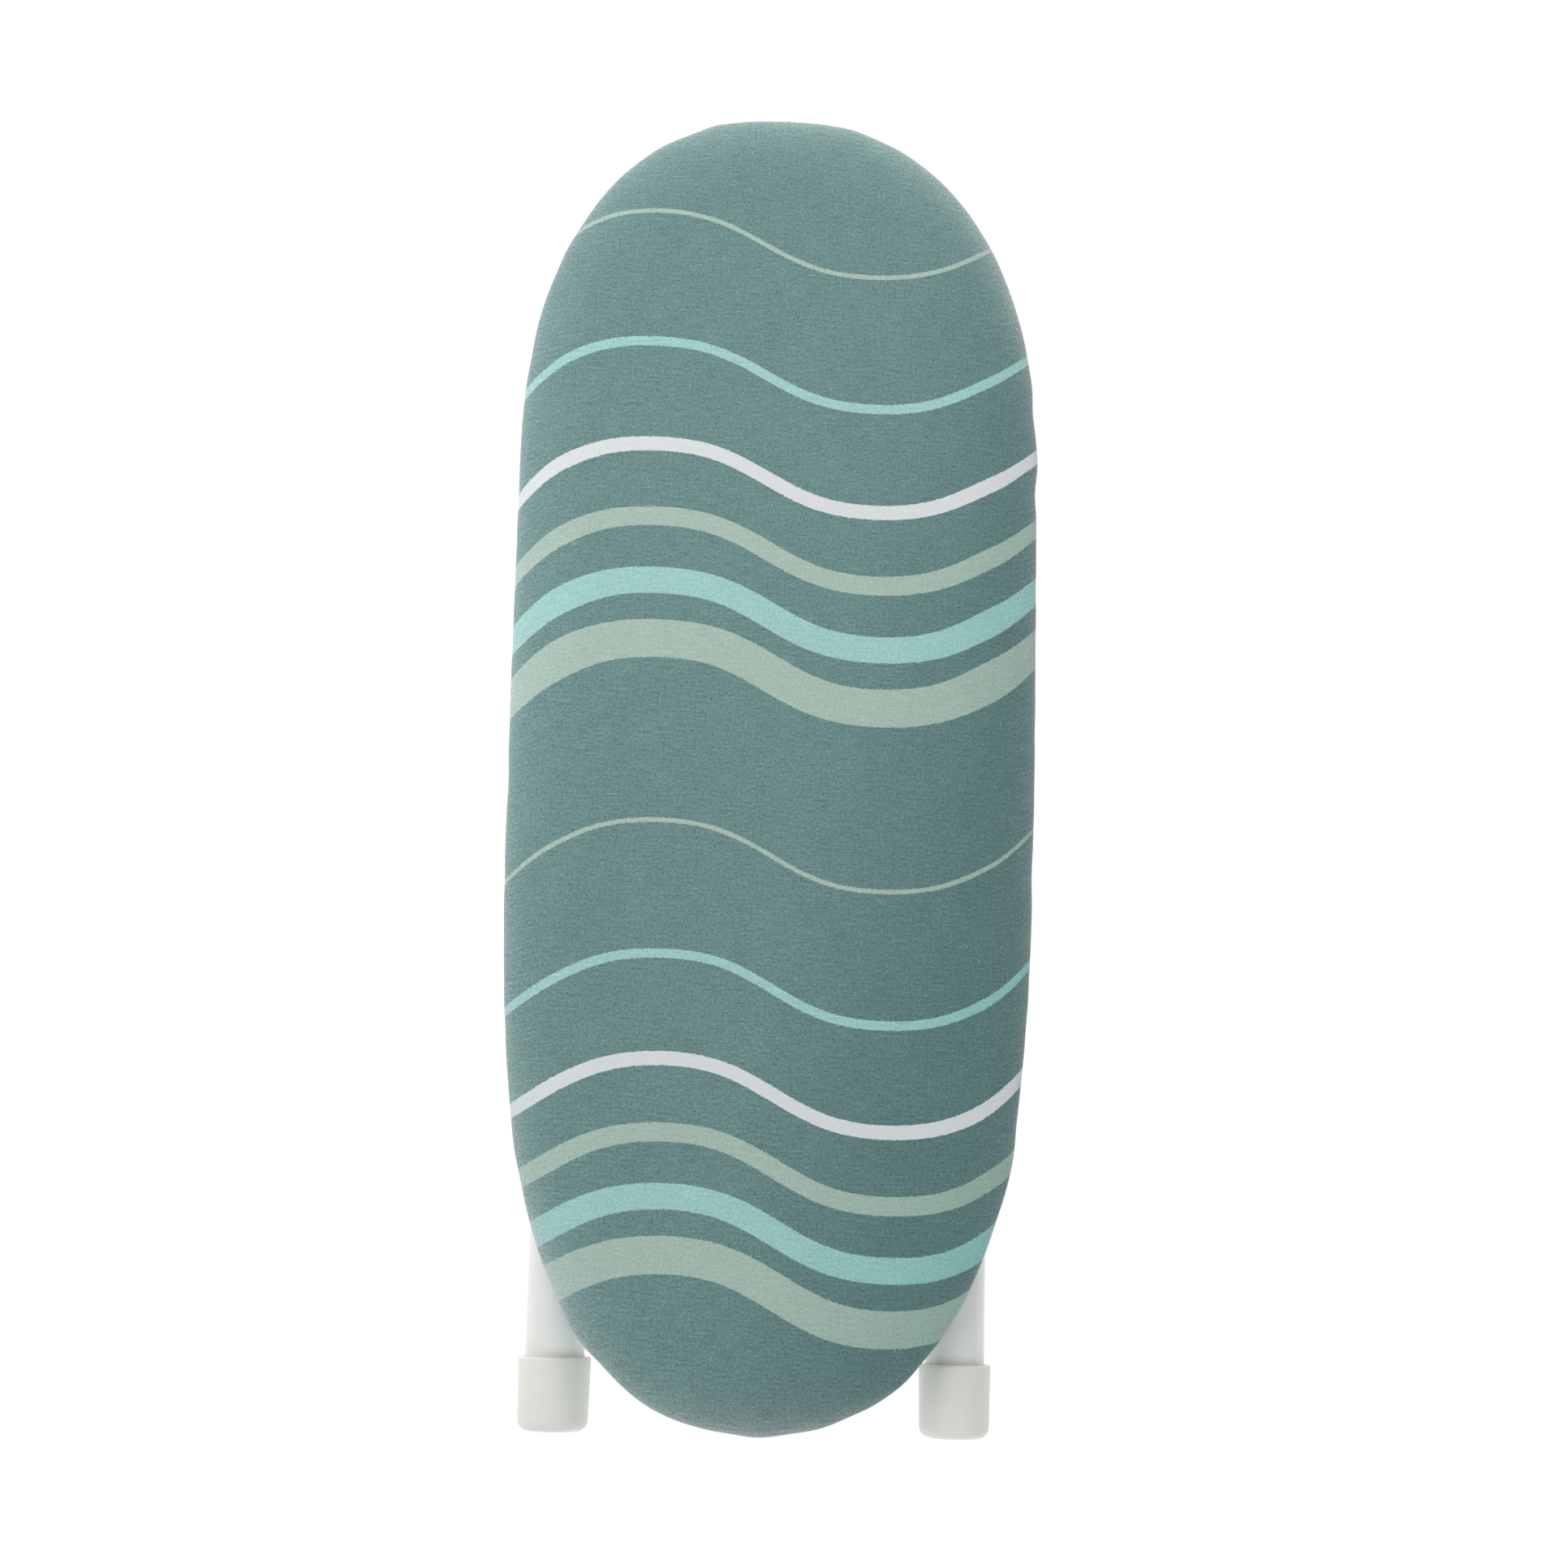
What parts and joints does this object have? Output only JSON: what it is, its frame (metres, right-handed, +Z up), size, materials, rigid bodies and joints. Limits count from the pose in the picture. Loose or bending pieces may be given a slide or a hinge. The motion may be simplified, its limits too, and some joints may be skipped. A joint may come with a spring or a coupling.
{
  "type": "tabletop ironing board",
  "caption": "Small ironing board with a padded striped cover on a perforated steel deck and two U-shaped tube leg frames that fold flat underneath.",
  "frame": {"origin": "under the middle of the board, on the surface that the folded board lies on", "axes": "+X across the board to the right, +Y along it to the round tail, +Z up out of the ironing face"},
  "size_m": [0.29, 0.7344, 0.0616],
  "materials": {
    "cover": "plain-weave cotton printed with wavy stripes in sage, mint and white on teal",
    "pad": "open foam",
    "sheet_steel": "light grey powder coat on pressed sheet",
    "powder_coat": "white powder coat on steel tube",
    "cap_plastic": "cream moulded plastic",
    "bearing_plastic": "grey moulded nylon",
    "screw_steel": "zinc-plated steel"
  },
  "bodies": {
    "board": {"fabric_cover": "cover", "foam_pad": "pad", "deck_sheet": "sheet_steel", "rim_channel": "sheet_steel", "spine_rail": "sheet_steel", "nose_cross_rail": "sheet_steel", "tail_cross_rail": "sheet_steel", "nose_saddle_left": "bearing_plastic", "nose_saddle_right": "bearing_plastic", "tail_saddle_left": "bearing_plastic", "tail_saddle_right": "bearing_plastic", "nose_keeper_left": "bearing_plastic", "nose_keeper_right": "bearing_plastic", "tail_keeper_left": "bearing_plastic", "tail_keeper_right": "bearing_plastic", "nose_screw_left_front": "screw_steel", "nose_screw_left_back": "screw_steel", "nose_screw_right_front": "screw_steel", "nose_screw_right_back": "screw_steel", "tail_screw_left_front": "screw_steel", "tail_screw_left_back": "screw_steel", "tail_screw_right_front": "screw_steel", "tail_screw_right_back": "screw_steel"},
    "nose_legs": {"nose_leg_frame": "powder_coat", "nose_foot_cap_left": "cap_plastic", "nose_foot_cap_right": "cap_plastic", "nose_stop_collar_left": "sheet_steel", "nose_stop_collar_right": "sheet_steel"},
    "tail_legs": {"tail_leg_frame": "powder_coat", "tail_foot_cap_left": "cap_plastic", "tail_foot_cap_right": "cap_plastic", "tail_stop_collar_left": "sheet_steel", "tail_stop_collar_right": "sheet_steel"}
  },
  "joints": [
    {"name": "nose_legs_fold", "type": "hinge", "parent": "board", "child": "nose_legs", "pos_m": [0, -0.16725, 0.0195], "axis": [1, 0, 0], "range_deg": [0, 96]},
    {"name": "tail_legs_fold", "type": "hinge", "parent": "board", "child": "tail_legs", "pos_m": [0, 0.23025, 0.0195], "axis": [1, 0, 0], "range_deg": [0, 96]}
  ]
}
